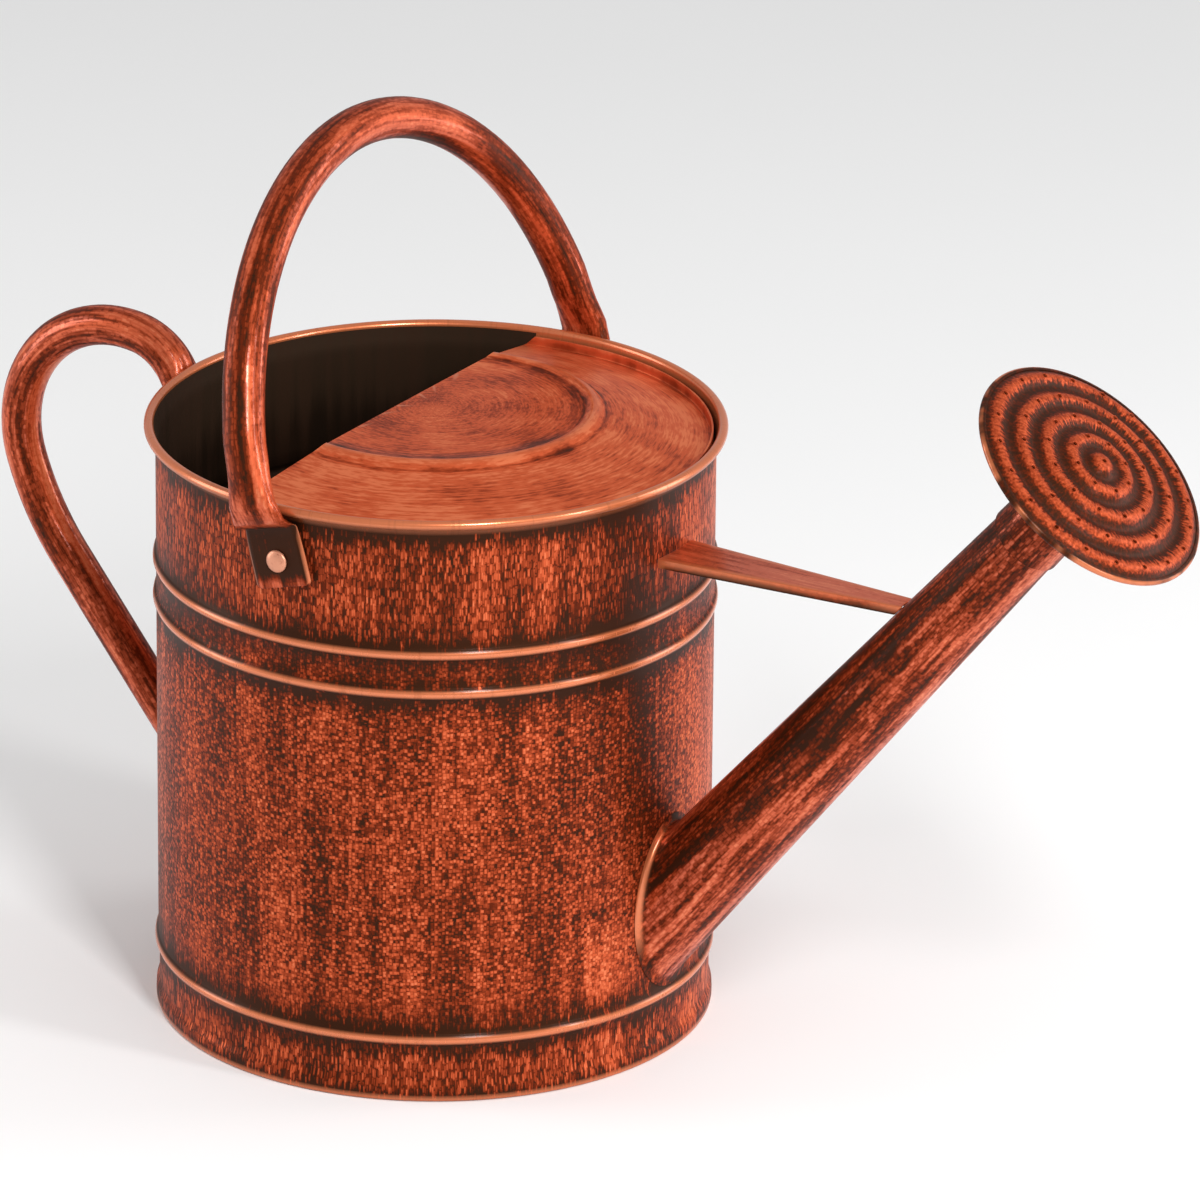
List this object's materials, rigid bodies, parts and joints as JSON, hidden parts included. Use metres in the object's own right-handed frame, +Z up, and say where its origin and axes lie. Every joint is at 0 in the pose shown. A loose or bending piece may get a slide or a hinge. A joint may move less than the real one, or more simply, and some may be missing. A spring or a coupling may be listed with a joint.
{
  "type": "watering can",
  "caption": "Round sheet-metal watering can with a half cover, swinging tube bail, rear tube handle, braced straight spout and a wide sprinkler rose.",
  "frame": {"origin": "on the ground, below the middle of the bounding box; the body's own axis stands 60 mm behind it", "axes": "+X towards the spout and rose, +Y to the left when looking along the spout, +Z up; the foot stands on Z = 0"},
  "size_m": [0.5124, 0.241, 0.3485],
  "materials": {
    "copper_paint": "antique copper paint, brushed and streaked, with bright worn edges and dark patina in the recesses",
    "dark_inside": "dull near-black brown paint",
    "rivet_metal": "pale copper, worn bright on the domes",
    "steel_wire": "plain drawn wire"
  },
  "bodies": {
    "can": {"body_shell": "copper_paint", "rim_wire": "steel_wire", "base_plate": "dark_inside", "top_cover": "copper_paint", "rear_handle": "copper_paint", "spout_tube": "copper_paint", "spout_brace": "copper_paint", "bail_rivet_left": "rivet_metal", "bail_rivet_right": "rivet_metal", "bail_washer_left": "rivet_metal", "bail_washer_right": "rivet_metal"},
    "bail": {"bail_handle": "copper_paint"},
    "rose": {"rose_neck": "copper_paint", "rose_back": "copper_paint", "rose_face": "copper_paint"}
  },
  "joints": [
    {"name": "bail_swing", "type": "hinge", "parent": "can", "child": "bail", "pos_m": [-0.05998, 0, 0.2105], "axis": [0, 1, 0], "range_deg": [-53, 101]},
    {"name": "rose_pull", "type": "slide", "parent": "can", "child": "rose", "axis": [0.6441, 0, 0.7649], "range_m": [0, 0.03]}
  ]
}
